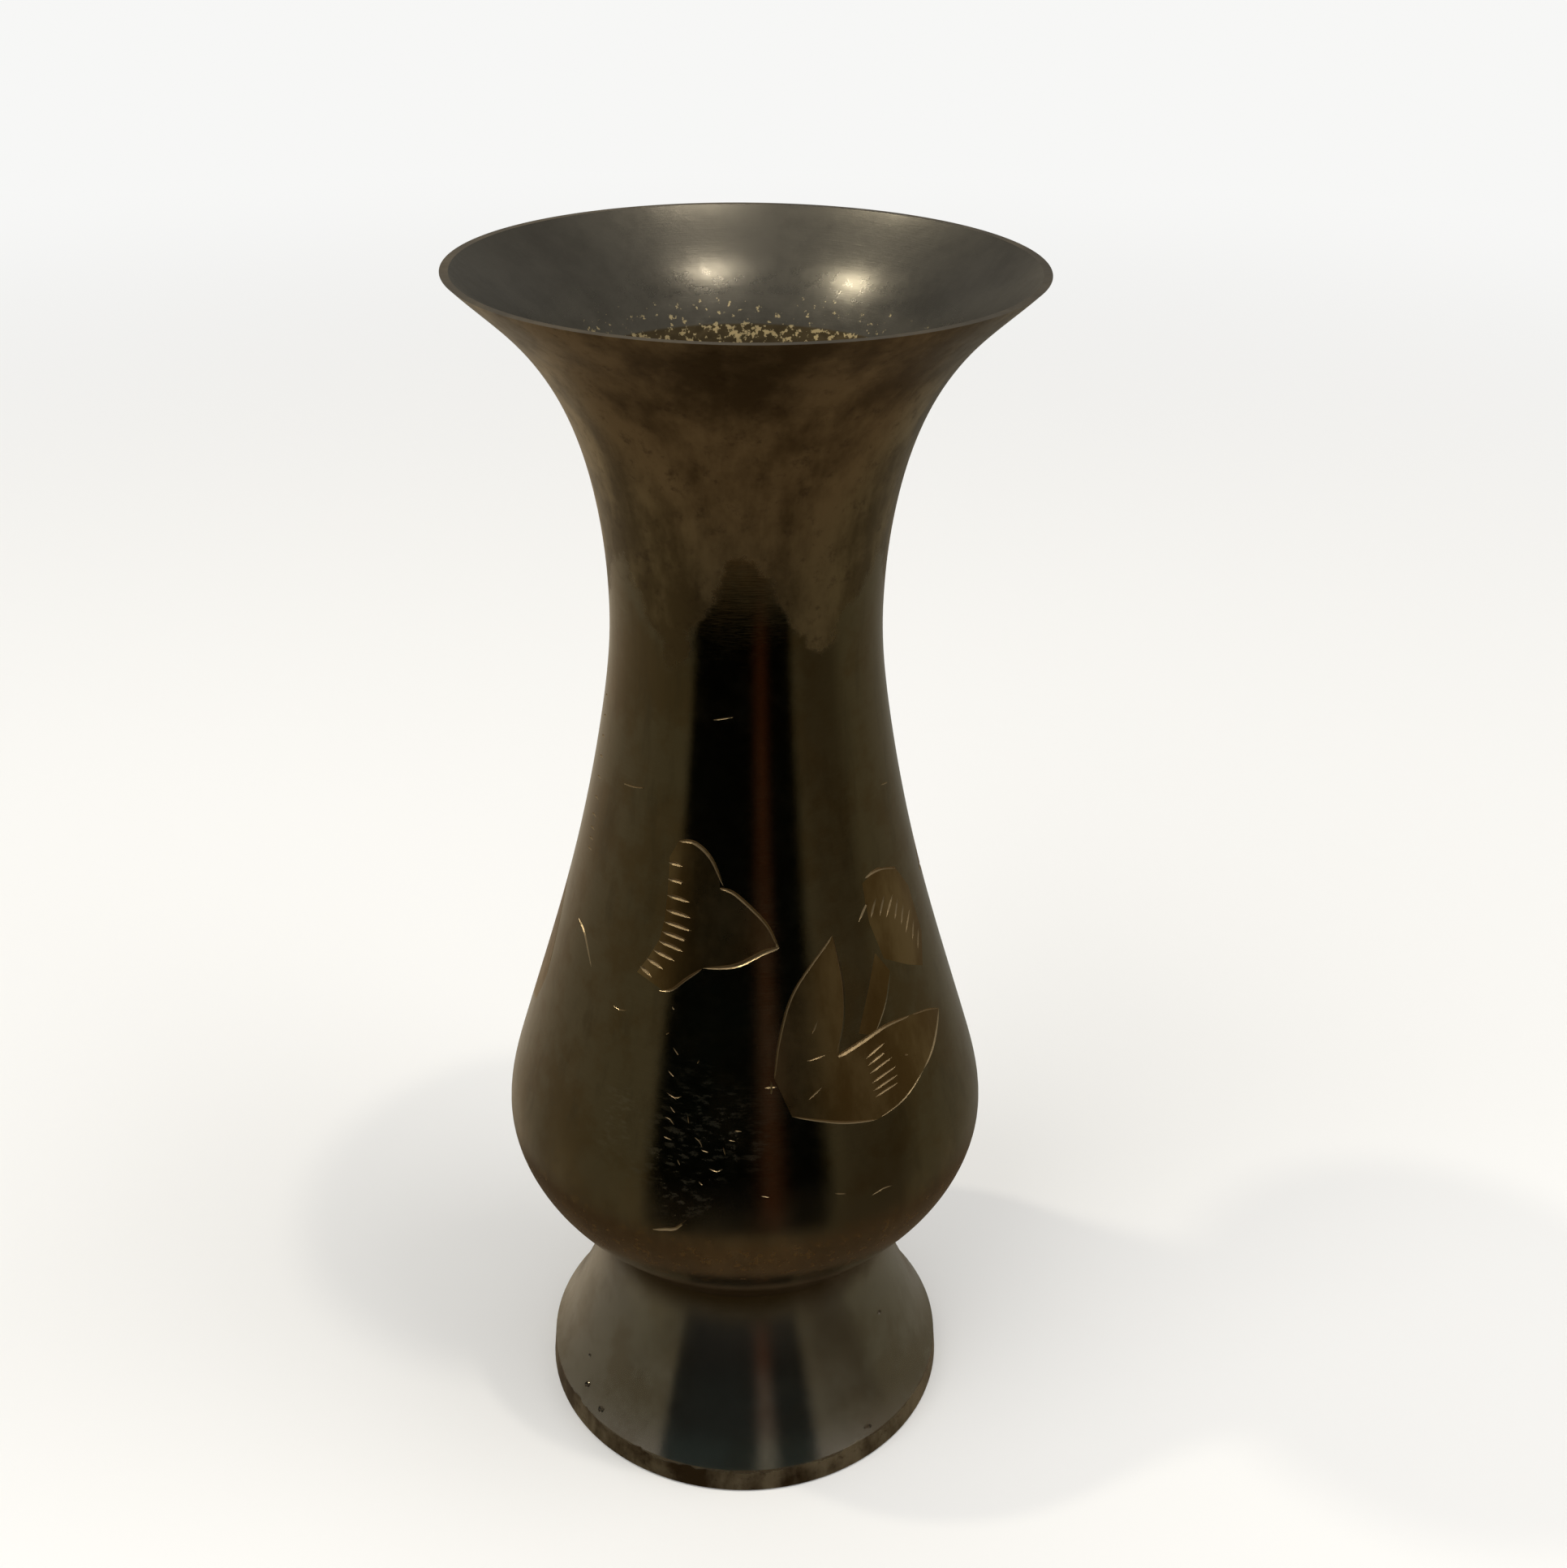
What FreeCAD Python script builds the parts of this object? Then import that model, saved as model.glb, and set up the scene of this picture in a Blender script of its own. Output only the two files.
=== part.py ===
import FreeCAD, Part
import math
import os

# An engraved brass bud vase: a cast and turned body with a flared mouth, a slim neck and a pear-shaped belly,
# on a flared hollow foot. Millimetres, +Z up. The origin is the centre of the ring that the foot stands on.
#
# The body is two castings, lap-jointed and brazed round the belly. The foot is a third casting. It is registered
# on a spigot under the bowl and held by one machine screw with a washer, driven up into a blind tapped hole.

os.makedirs("parts", exist_ok=True)

# ---- driving dimensions ----

# outside of the body
HEIGHT = 152.0
LIP_RADIUS = 31.4
NECK_RADIUS = 15.5
NECK_HEIGHT = 114.0
BELLY_RADIUS = 30.5
BELLY_HEIGHT = 45.6

# outside of the foot
FOOT_HEIGHT = 26.4
WAIST_RADIUS = 19.0
FOOT_RADIUS = 27.1
BAND_TOP_RADIUS = 26.8
BAND_HEIGHT = 3.6
BAND_CHAMFER = 0.3

# walls
LIP_THICKNESS = 0.9
NECK_WALL = 2.0
BELLY_WALL = 3.2
BOWL_FLOOR = 6.5
FLOOR_RADIUS = 14.0
FOOT_WALL = 2.1
FOOT_RIM = 2.8
FOOT_WEB = 3.8

# lap joint round the belly
LAP_LENGTH = 5.0
LAP_SKIRT = 1.7
LAP_CLEARANCE = 0.05
LAP_END_GAP = 0.2
BRAZE_SIZE = 0.8

# spigot, screw and washer under the bowl
SPIGOT_RADIUS = 10.0
SPIGOT_LENGTH = 1.5
SPIGOT_CLEARANCE = 0.05
SPIGOT_END_GAP = 0.2
SCREW_RADIUS = 2.5
SCREW_REACH = 5.5
TAPPED_DEPTH = 6.0
SCREW_HOLE_CLEARANCE = 0.25
SCREW_HEAD_RADIUS = 4.4
SCREW_HEAD_HEIGHT = 2.4
SLOT_WIDTH = 1.0
SLOT_DEPTH = 1.1
WASHER_RADIUS = 5.5
WASHER_THICKNESS = 1.0
WASHER_CLEARANCE = 0.2

# ---- outlines, as (radius, height) points in the plane that is turned about Z ----

UP = (0.0, 1.0)
DOWN = (0.0, -1.0)
INWARD = (-1.0, 0.0)


def point(radius, height):
    return FreeCAD.Vector(radius, 0.0, height)


def curve(points, start, end):
    """A smooth curve through points that sets out and arrives in the given directions."""
    spline = Part.BSplineCurve()
    spline.interpolate(
        Points=[point(*p) for p in points],
        InitialTangent=point(*start),
        FinalTangent=point(*end),
        Scale=True,
    )
    return spline.toShape()


def line(a, b):
    return Part.LineSegment(point(*a), point(*b)).toShape()


def lines(points):
    return [line(a, b) for a, b in zip(points, points[1:])]


def turned(edges):
    """The solid that a closed outline sweeps when it is turned about Z."""
    face = Part.Face(Part.Wire(edges))
    solid = face.revolve(FreeCAD.Vector(0, 0, 0), FreeCAD.Vector(0, 0, 1), 360)
    return Part.Solid(solid) if solid.ShapeType == "Shell" else solid


def part_way(start, end, along, across):
    """A point between two others: a share of the way in height, and a share of the way in radius."""
    return (
        start[0] + across * (end[0] - start[0]),
        start[1] + along * (end[1] - start[1]),
    )


def slope(degrees):
    """The direction that rises outwards, this far from the vertical."""
    return (math.sin(math.radians(degrees)), math.cos(math.radians(degrees)))


def export(node, shape):
    shape.exportStep(f"parts/{node}.step")


# ---- heights and radii that more than one piece uses ----

lip = (LIP_RADIUS, HEIGHT)
neck = (NECK_RADIUS, NECK_HEIGHT)
belly = (BELLY_RADIUS, BELLY_HEIGHT)
bowl_seat = (WAIST_RADIUS, FOOT_HEIGHT)

bore_radius = BELLY_RADIUS - BELLY_WALL
lap_radius = BELLY_RADIUS - LAP_SKIRT
lap_top = BELLY_HEIGHT + LAP_LENGTH
floor_height = FOOT_HEIGHT + BOWL_FLOOR
spigot_bottom = FOOT_HEIGHT - SPIGOT_LENGTH
web_underside = FOOT_HEIGHT - FOOT_WEB


def upper_body():
    """Mouth, neck and shoulder: thin at the lip, thickest where its skirt laps over the bowl."""
    throat = (NECK_RADIUS - NECK_WALL, NECK_HEIGHT)
    inner_lip = (LIP_RADIUS - LIP_THICKNESS, HEIGHT)
    bore_top = (bore_radius, lap_top)
    skirt_radius = lap_radius + LAP_CLEARANCE
    outside = [
        curve(
            [
                belly,
                part_way(belly, neck, 0.133, 0.119),
                part_way(belly, neck, 0.489, 0.601),
                part_way(belly, neck, 0.801, 0.909),
                neck,
            ],
            UP,
            UP,
        ),
        curve(
            [
                neck,
                part_way(neck, lip, 0.36, 0.075),
                part_way(neck, lip, 0.68, 0.328),
                part_way(neck, lip, 0.84, 0.600),
                lip,
            ],
            UP,
            slope(45),
        ),
    ]
    inside = [
        line(lip, inner_lip),
        curve(
            [
                inner_lip,
                part_way(inner_lip, throat, 0.16, 0.42),
                part_way(inner_lip, throat, 0.36, 0.71),
                part_way(inner_lip, throat, 0.64, 0.92),
                throat,
            ],
            (-slope(45)[0], -slope(45)[1]),
            DOWN,
        ),
        curve(
            [
                throat,
                part_way(throat, bore_top, 0.25, 0.12),
                part_way(throat, bore_top, 0.60, 0.47),
                part_way(throat, bore_top, 0.84, 0.79),
                bore_top,
            ],
            DOWN,
            DOWN,
        ),
    ]
    skirt = lines(
        [
            bore_top,
            (skirt_radius, lap_top),
            (skirt_radius, BELLY_HEIGHT + BRAZE_SIZE),
            (skirt_radius + BRAZE_SIZE, BELLY_HEIGHT),
            belly,
        ]
    )
    return turned(outside + inside + skirt)


def lower_bowl():
    """The bowl under the belly, with the lap sleeve on top and the foot's spigot and tapped hole below."""
    bore_bottom = (bore_radius, BELLY_HEIGHT - LAP_LENGTH / 2)
    floor_edge = (FLOOR_RADIUS, floor_height)
    hole_top = spigot_bottom + TAPPED_DEPTH
    outside = [
        curve(
            [
                bowl_seat,
                part_way(bowl_seat, belly, 0.19, 0.28),
                part_way(bowl_seat, belly, 0.44, 0.63),
                part_way(bowl_seat, belly, 0.70, 0.885),
                belly,
            ],
            slope(52),
            UP,
        )
    ]
    sleeve = lines(
        [
            belly,
            (lap_radius, BELLY_HEIGHT),
            (lap_radius, lap_top - LAP_END_GAP),
            (bore_radius, lap_top - LAP_END_GAP),
            bore_bottom,
        ]
    )
    inside = [curve([bore_bottom, part_way(bore_bottom, floor_edge, 0.707, 0.293), floor_edge], DOWN, INWARD)]
    underside = lines(
        [
            floor_edge,
            (0.0, floor_height),
            (0.0, hole_top),
            (SCREW_RADIUS, hole_top),
            (SCREW_RADIUS, spigot_bottom),
            (SPIGOT_RADIUS, spigot_bottom),
            (SPIGOT_RADIUS, FOOT_HEIGHT),
            bowl_seat,
        ]
    )
    return turned(outside + sleeve + inside + underside)


def belly_braze_ring():
    """The filler metal that fills the groove between the skirt's chamfer and the bowl's sleeve."""
    skirt_radius = lap_radius + LAP_CLEARANCE
    section = [
        (lap_radius, BELLY_HEIGHT),
        (skirt_radius + BRAZE_SIZE, BELLY_HEIGHT),
        (skirt_radius, BELLY_HEIGHT + BRAZE_SIZE),
        (lap_radius, BELLY_HEIGHT + BRAZE_SIZE),
        (lap_radius, BELLY_HEIGHT),
    ]
    return turned(lines(section))


def pedestal_foot():
    """A flared hollow foot: a plain band at the floor, a turned flank, and a web on top that the screw clamps."""
    band_top = (BAND_TOP_RADIUS, BAND_HEIGHT)
    hollow_rim = (FOOT_RADIUS - FOOT_RIM, 0.0)
    hollow_top = (WAIST_RADIUS - FOOT_WALL, web_underside)
    recess_radius = SPIGOT_RADIUS + SPIGOT_CLEARANCE
    recess_bottom = spigot_bottom - SPIGOT_END_GAP
    hole_radius = SCREW_RADIUS + SCREW_HOLE_CLEARANCE
    band = lines([hollow_rim, (FOOT_RADIUS - BAND_CHAMFER, 0.0), (FOOT_RADIUS, BAND_CHAMFER), band_top])
    flank = [
        curve(
            [
                band_top,
                part_way(band_top, bowl_seat, 0.30, 0.47),
                part_way(band_top, bowl_seat, 0.65, 0.87),
                bowl_seat,
            ],
            (-slope(38)[0], slope(38)[1]),
            UP,
        )
    ]
    top = lines(
        [
            bowl_seat,
            (recess_radius, FOOT_HEIGHT),
            (recess_radius, recess_bottom),
            (hole_radius, recess_bottom),
            (hole_radius, web_underside),
            hollow_top,
        ]
    )
    hollow = [
        curve(
            [
                hollow_top,
                part_way(hollow_top, hollow_rim, 0.45, 0.20),
                part_way(hollow_top, hollow_rim, 0.80, 0.62),
                hollow_rim,
            ],
            DOWN,
            (slope(38)[0], -slope(38)[1]),
        )
    ]
    return turned(band + flank + top + hollow)


def foot_screw():
    """A slotted round-head machine screw, its thread as a plain shank of the nominal size."""
    head_top = web_underside - WASHER_THICKNESS
    head_bottom = head_top - SCREW_HEAD_HEIGHT
    shank = Part.makeCylinder(
        SCREW_RADIUS, spigot_bottom + SCREW_REACH - head_top, point(0, head_top)
    )
    head = Part.makeCylinder(SCREW_HEAD_RADIUS, SCREW_HEAD_HEIGHT, point(0, head_bottom))
    head = head.makeFillet(SCREW_HEAD_HEIGHT / 2, [e for e in head.Edges if e.BoundBox.ZMax < head_bottom + 0.01])
    slot = Part.makeBox(
        2 * SCREW_HEAD_RADIUS,
        SLOT_WIDTH,
        SLOT_DEPTH,
        FreeCAD.Vector(-SCREW_HEAD_RADIUS, -SLOT_WIDTH / 2, head_bottom),
    )
    return head.fuse(shank).removeSplitter().cut(slot)


def foot_washer():
    """A flat washer between the screw's head and the web of the foot."""
    hole_radius = SCREW_RADIUS + WASHER_CLEARANCE
    bottom = web_underside - WASHER_THICKNESS
    disc = Part.makeCylinder(WASHER_RADIUS, WASHER_THICKNESS, point(0, bottom))
    return disc.cut(Part.makeCylinder(hole_radius, WASHER_THICKNESS, point(0, bottom)))


export("upper_body", upper_body())
export("lower_bowl", lower_bowl())
export("belly_braze_ring", belly_braze_ring())
export("pedestal_foot", pedestal_foot())
export("foot_screw", foot_screw())
export("foot_washer", foot_washer())
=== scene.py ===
import math

import bpy
import numpy as np
from mathutils import Matrix, Vector, geometry


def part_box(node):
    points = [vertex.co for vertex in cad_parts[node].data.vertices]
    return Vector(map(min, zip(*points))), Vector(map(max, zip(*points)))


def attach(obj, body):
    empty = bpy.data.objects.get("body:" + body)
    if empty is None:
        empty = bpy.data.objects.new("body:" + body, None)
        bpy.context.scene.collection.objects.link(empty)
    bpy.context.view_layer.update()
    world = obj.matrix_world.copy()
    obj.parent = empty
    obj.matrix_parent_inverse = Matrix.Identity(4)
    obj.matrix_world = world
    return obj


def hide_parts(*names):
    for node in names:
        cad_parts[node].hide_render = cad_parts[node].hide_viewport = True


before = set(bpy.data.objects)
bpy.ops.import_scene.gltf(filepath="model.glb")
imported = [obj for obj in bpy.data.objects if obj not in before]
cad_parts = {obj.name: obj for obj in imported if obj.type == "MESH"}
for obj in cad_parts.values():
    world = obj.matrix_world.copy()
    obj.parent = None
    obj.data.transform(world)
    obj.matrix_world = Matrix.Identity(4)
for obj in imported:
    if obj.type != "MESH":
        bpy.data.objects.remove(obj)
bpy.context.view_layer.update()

mm = 0.001

# ----------------------------------------------------------------------------------------------------
# The studio: a pale floor that runs into a pale backdrop, under two soft lamps and two small bright ones.
# The polish mirrors a room of its own, which only reflections see: dim grey-green walls, a brown bench, and
# two black cards behind the lens with a narrow gap between them.

vase_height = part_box("upper_body")[1].z


def camera_at(distance, height, tilt, turn, roll, lens):
    """A hand-held camera: distance and height in vase heights, the three angles in degrees."""
    tilt, turn, roll = (math.radians(a) for a in (tilt, turn, roll))
    forward = Vector((math.sin(turn) * math.cos(tilt), math.cos(turn) * math.cos(tilt), -math.sin(tilt)))
    right = Vector((math.cos(turn), -math.sin(turn), 0))
    up = right.cross(forward)
    leaning_right = math.cos(roll) * right - math.sin(roll) * up
    leaning_up = math.sin(roll) * right + math.cos(roll) * up
    data = bpy.data.cameras.new("camera")
    data.sensor_width = 36
    data.lens = lens
    data.clip_start = 0.01
    camera = bpy.data.objects.new("camera", data)
    turned = Matrix((leaning_right, leaning_up, -forward)).transposed().to_4x4()
    camera.matrix_world = Matrix.Translation((0, -distance * vase_height, height * vase_height)) @ turned
    bpy.context.collection.objects.link(camera)
    return camera


bpy.context.scene.camera = camera_at(1.249, 1.283, tilt=28.80, turn=1.35, roll=-0.75, lens=41.56)
bpy.context.scene.view_settings.view_transform = "Standard"


class Nodes:
    """Adds nodes to a tree, with sockets set by value or by link in one call."""

    def __init__(self, tree):
        self.tree = tree

    def put(self, socket, value):
        if isinstance(value, bpy.types.NodeSocket):
            self.tree.links.new(value, socket)
        elif value is not None:
            socket.default_value = value

    def add(self, kind, inputs=(), **settings):
        node = self.tree.nodes.new(kind)
        for name, value in settings.items():
            setattr(node, name, value)
        for key, value in dict(inputs).items():
            self.put(node.inputs[key], value)
        return node

    def maths(self, operation, a, b=None, c=None):
        node = self.add("ShaderNodeMath", operation=operation)
        for socket, value in zip(node.inputs, (a, b, c)):
            self.put(socket, value)
        return node.outputs[0]

    def ramp(self, value, low, high, to_low=0.0, to_high=1.0):
        """0 below low, 1 above high and a soft step between, or any other two values."""
        node = self.add("ShaderNodeMapRange", interpolation_type="SMOOTHSTEP")
        for socket, value in zip(node.inputs, (value, low, high, to_low, to_high)):
            self.put(socket, value)
        return node.outputs[0]

    def blend(self, share, a, b):
        node = self.add("ShaderNodeMix", data_type="RGBA")
        self.put(node.inputs[0], share)
        self.put(node.inputs[6], a)
        self.put(node.inputs[7], b)
        return node.outputs[2]


floor_reach = 3.0
floor_grey, backdrop_grey = (0.86, 0.86, 0.85, 1), (0.93, 0.93, 0.92, 1)
backdrop_starts, backdrop_full = 0.15, 0.9

floor_mesh = bpy.data.meshes.new("floor")
corners = [(floor_reach * x, floor_reach * y, 0) for x, y in ((-1, -1), (1, -1), (1, 1), (-1, 1))]
floor_mesh.from_pydata(corners, [], [(0, 1, 2, 3)])
floor = bpy.data.objects.new("floor", floor_mesh)
bpy.context.collection.objects.link(floor)
floor.visible_glossy = False
floor_paint = bpy.data.materials.new("floor_paint")
floor_paint.use_nodes = True
floor_shader = floor_paint.node_tree.nodes["Principled BSDF"]
floor_shader.inputs["Roughness"].default_value = 1.0
floor_shader.inputs["Specular IOR Level"].default_value = 0.0
paint = Nodes(floor_paint.node_tree)
spot = paint.add("ShaderNodeTexCoord").outputs["Object"]
distance = paint.add("ShaderNodeVectorMath", {0: spot}, operation="LENGTH").outputs["Value"]
afar = paint.ramp(distance, backdrop_starts, backdrop_full)
paint.put(floor_shader.inputs["Emission Color"], backdrop_grey)
paint.put(floor_shader.inputs["Emission Strength"], afar)
paint.put(floor_shader.inputs["Base Color"], paint.blend(afar, floor_grey, (0, 0, 0, 1)))
floor_mesh.materials.append(floor_paint)


lamps_aim = Vector((0, 0, 0.1))
soft_white, warm_a, warm_b = (1.0, 0.98, 0.95), (1.0, 0.93, 0.82), (1.0, 0.93, 0.78)


def lamp(name, place, size, watts, colour, seen_in_polish):
    """A round lamp aimed at the vase; the soft ones light it without showing in the polish."""
    data = bpy.data.lights.new(name, "AREA")
    data.shape = "DISK"
    data.size = size
    data.energy = watts
    data.color = colour
    lamp_object = bpy.data.objects.new(name, data)
    lamp_object.location = place
    lamp_object.rotation_euler = (lamps_aim - Vector(place)).to_track_quat("-Z", "Y").to_euler()
    lamp_object.visible_glossy = seen_in_polish
    bpy.context.collection.objects.link(lamp_object)


lamp("soft_left", (-0.7, -0.7, 1.0), 1.1, 7.0, soft_white, False)
lamp("soft_right", (0.9, -0.3, 1.1), 1.1, 7.0, soft_white, False)
lamp("ceiling_lamp_a", (0.18, -0.17, 1.0), 0.05, 1.1, warm_a, True)
lamp("ceiling_lamp_b", (-0.49, 0.00, 0.89), 0.05, 1.3, warm_b, True)


def window(nodes, value, low, high, soft):
    """1 between low and high, 0 outside, with soft edges."""
    rise = nodes.ramp(value, low - soft, low + soft)
    fall = nodes.ramp(value, high - soft, high + soft, 1.0, 0.0)
    return nodes.maths("MULTIPLY", rise, fall)


# Bearings are degrees right of the lens, elevations degrees above level.
olive_wall, far_wall = (0.109, 0.103, 0.070, 1), (0.23, 0.215, 0.182, 1)
bright_wall = (0.37, 0.32, 0.24, 1)
corner_shade, ceiling_grey = (0.062, 0.054, 0.034, 1), (0.215, 0.208, 0.195, 1)
card_black, card_top = (0.001, 0.0015, 0.001, 1), (0.012, 0.023, 0.024, 1)
gap_brown, gap_grey = (0.058, 0.022, 0.010, 1), (0.19, 0.20, 0.185, 1)
bench_brown = (0.100, 0.073, 0.046, 1)
soft_fill = (0.55, 0.55, 0.55, 1)

world = bpy.data.worlds.new("studio")
world.use_nodes = True
world.node_tree.nodes.clear()
air = Nodes(world.node_tree)
looking = air.add("ShaderNodeSeparateXYZ", {0: air.add("ShaderNodeTexCoord").outputs["Generated"]}).outputs
away = air.maths("MULTIPLY", looking["Y"], -1.0)
bearing = air.maths("DEGREES", air.maths("ARCTAN2", looking["X"], away))
side = air.maths("MAXIMUM", air.maths("MULTIPLY", bearing, -1.0), air.maths("MULTIPLY", bearing, 0.71))
elevation = air.maths("DEGREES", air.maths("ARCSINE", looking["Z"]))
walls = air.blend(air.ramp(side, 50, 150), olive_wall, far_wall)
walls = air.blend(air.ramp(bearing, -165, -105, 1.0, 0.0), walls, bright_wall)
corner = air.maths("MULTIPLY", window(air, bearing, 42, 80, 8), air.ramp(elevation, -12, 2, 1.0, 0.3))
walls = air.blend(corner, walls, corner_shade)
room = air.blend(air.ramp(elevation, -12, 30), walls, ceiling_grey)
card = air.blend(air.ramp(elevation, -8, 14), card_black, card_top)
cards = air.maths("MULTIPLY", window(air, bearing, -44, 38, 2), window(air, elevation, -34.5, 34, 3))
room = air.blend(cards, room, card)
strip = air.blend(air.ramp(elevation, -8, 12), gap_brown, gap_grey)
gap = air.maths("MULTIPLY", window(air, bearing, 7.5, 15.5, 2.5), window(air, elevation, -30, 34, 4))
room = air.blend(gap, room, strip)
room = air.blend(air.ramp(elevation, -44, -33, 1.0, 0.0), room, bench_brown)
rays = air.add("ShaderNodeLightPath").outputs
light = air.blend(rays["Is Glossy Ray"], soft_fill, room)
light = air.blend(rays["Is Camera Ray"], light, backdrop_grey)
background = air.add("ShaderNodeBackground", {"Color": light})
air.add("ShaderNodeOutputWorld", {"Surface": background.outputs[0]})
bpy.context.scene.world = world

# ----------------------------------------------------------------------------------------------------
# Upper body: the brass casting of mouth, neck and shoulder. It is turned outside and inside the mouth, left
# as it came from the sand in the throat, and cut with a burin round the belly. Its skirt laps over the bowl.

lip_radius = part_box("upper_body")[1].x
belly_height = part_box("upper_body")[0].z
belly_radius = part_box("lower_bowl")[1].x
neck_radius, neck_height = 15.5 * mm, 114 * mm
lip_thickness, neck_wall, belly_wall = 0.9 * mm, 2.0 * mm, 3.2 * mm
lap_length, lap_skirt, lap_chamfer = 5.0 * mm, 1.65 * mm, 0.8 * mm
UP, DOWN, INWARD = (0, 1), (0, -1), (-1, 0)


def part_way(start, end, along, across):
    """A point between two others: a share of the way in height, and a share of the way in radius."""
    return (start[0] + across * (end[0] - start[0]), start[1] + along * (end[1] - start[1]))


def slope(degrees):
    """The way an outline runs when it leans this far outwards from upright."""
    return (math.sin(math.radians(degrees)), math.cos(math.radians(degrees)))


def smooth_run(points, start, end):
    """A smooth curve through (radius, height) points: places along it, with the outward normal at each.
    Start and end are the ways it runs at its two ends."""
    step = 0.3 * mm
    points = np.array(points, float)
    gaps = np.linalg.norm(np.diff(points, axis=0), axis=1)
    knots = np.concatenate([[0], np.cumsum(gaps)])
    count = len(points)
    rows, right = np.eye(count), np.zeros((count, 2))
    right[0], right[-1] = start, end
    for i in range(1, count - 1):
        before, after = gaps[i - 1], gaps[i]
        rows[i, i - 1 : i + 2] = after, 2 * (before + after), before
        rise, fall = (points[i] - points[i - 1]) / before, (points[i + 1] - points[i]) / after
        right[i] = 3 * (after * rise + before * fall)
    speed = np.linalg.solve(rows, right)
    where = np.linspace(0, knots[-1], max(3, int(knots[-1] / step)))
    i = np.clip(np.searchsorted(knots, where, side="right") - 1, 0, count - 2)
    h, t = gaps[i][:, None], ((where - knots[i]) / gaps[i])[:, None]
    a, b, da, db = points[i], points[i + 1], speed[i] * h, speed[i + 1] * h
    place = (2 * t**3 - 3 * t**2 + 1) * a + (t**3 - 2 * t**2 + t) * da
    place += (3 * t**2 - 2 * t**3) * b + (t**3 - t**2) * db
    along = (6 * t**2 - 6 * t) * (a - b) + (3 * t**2 - 4 * t + 1) * da + (3 * t**2 - 2 * t) * db
    along /= np.linalg.norm(along, axis=1)[:, None]
    return place, np.column_stack([along[:, 1], -along[:, 0]])


def straight_run(start, end):
    place = np.array([start, end], float)
    along = (place[1] - place[0]) / np.linalg.norm(place[1] - place[0])
    return place, np.array([(along[1], -along[0])] * 2)


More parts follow.
